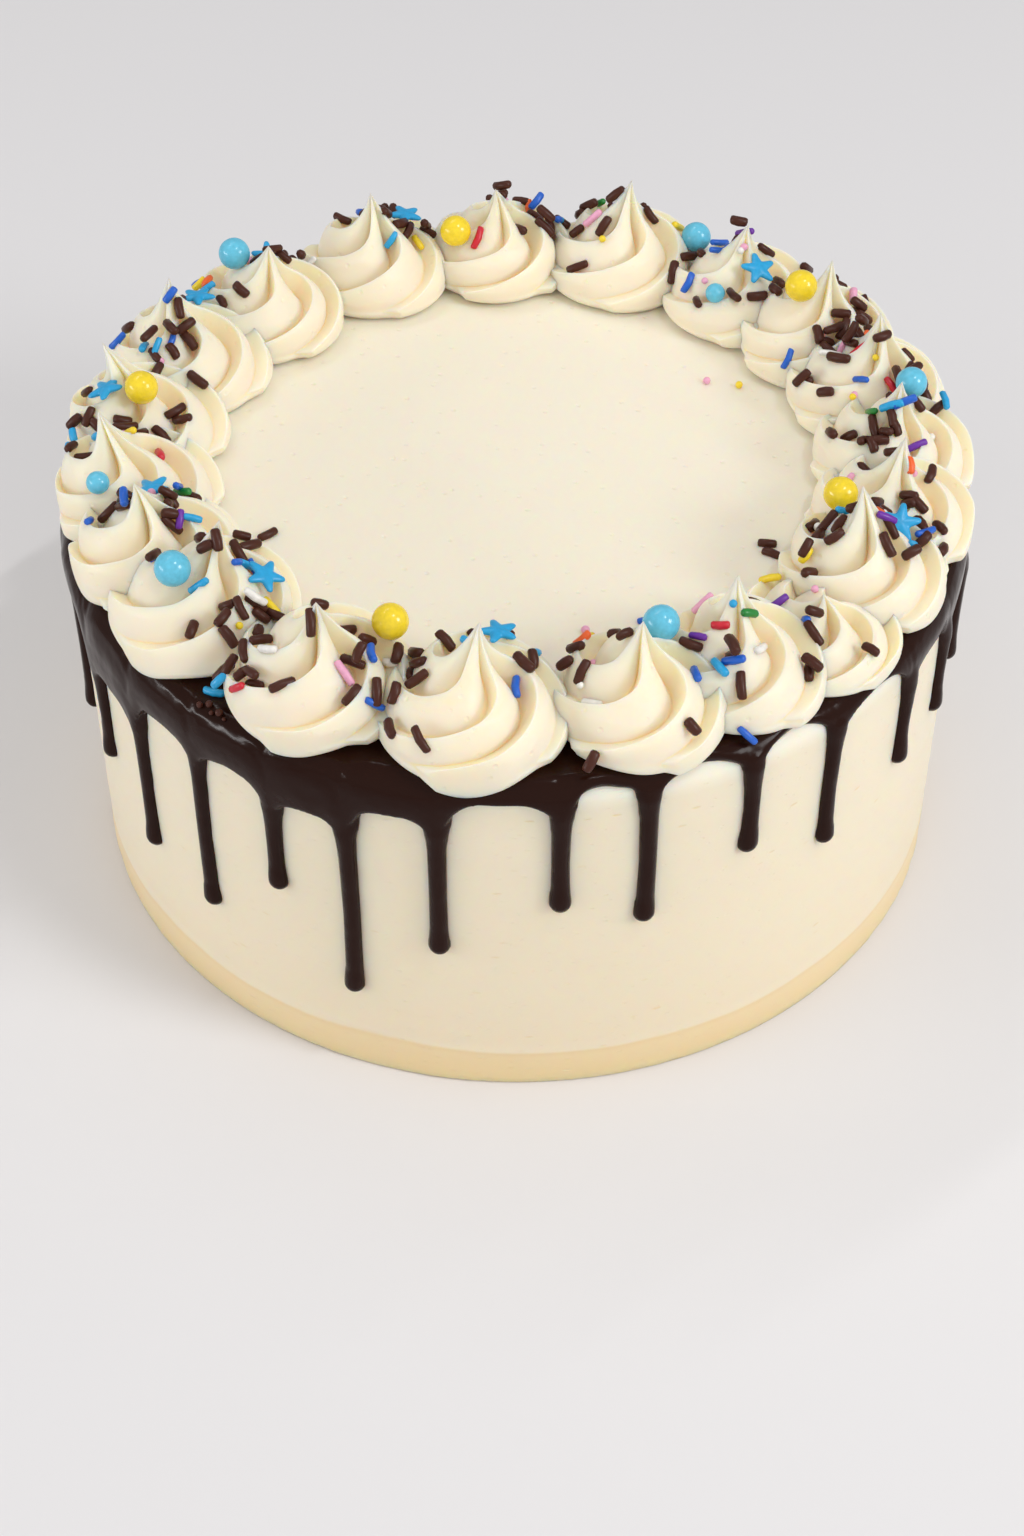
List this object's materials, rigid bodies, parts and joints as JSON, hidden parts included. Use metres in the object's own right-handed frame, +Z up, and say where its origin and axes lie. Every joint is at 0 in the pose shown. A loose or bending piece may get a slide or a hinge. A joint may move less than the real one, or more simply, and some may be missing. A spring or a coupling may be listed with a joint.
{
  "type": "chocolate drip cake",
  "caption": "Round cake coated in ivory cream, with a dark chocolate drip over its edge, a ring of piped cream swirls on top, sugar pearls and sprinkles.",
  "frame": {"origin": "centre of the flat foot that the cake rests on", "axes": "+Z up along the cake's axis, -Y towards the pictured front, +X to the right of it"},
  "size_m": [0.2214, 0.2212, 0.1288],
  "materials": {
    "cream_wall": "smooth ivory cream with faint scrape marks, softly satin",
    "piped_cream": "smooth piped ivory cream, softly satin",
    "dark_chocolate": "glossy dark chocolate glaze",
    "sugar_yellow": "polished sugar shell",
    "sugar_blue": "polished sugar shell"
  },
  "bodies": {
    "root": {"cake_body": "cream_wall", "chocolate_coat": "dark_chocolate", "swirl_01": "piped_cream", "swirl_02": "piped_cream", "swirl_03": "piped_cream", "swirl_04": "piped_cream", "swirl_05": "piped_cream", "swirl_06": "piped_cream", "swirl_07": "piped_cream", "swirl_08": "piped_cream", "swirl_09": "piped_cream", "swirl_10": "piped_cream", "swirl_11": "piped_cream", "swirl_12": "piped_cream", "swirl_13": "piped_cream", "swirl_14": "piped_cream", "swirl_15": "piped_cream", "swirl_16": "piped_cream", "swirl_17": "piped_cream", "swirl_18": "piped_cream", "swirl_19": "piped_cream", "swirl_20": "piped_cream", "pearl_01": "sugar_yellow", "pearl_02": "sugar_blue", "pearl_03": "sugar_yellow", "pearl_04": "sugar_blue", "pearl_05": "sugar_yellow", "pearl_06": "sugar_blue", "pearl_07": "sugar_blue", "pearl_08": "sugar_yellow", "pearl_09": "sugar_blue", "pearl_10": "sugar_yellow", "pearl_11": "sugar_blue", "pearl_12": "sugar_blue"}
  },
  "joints": []
}
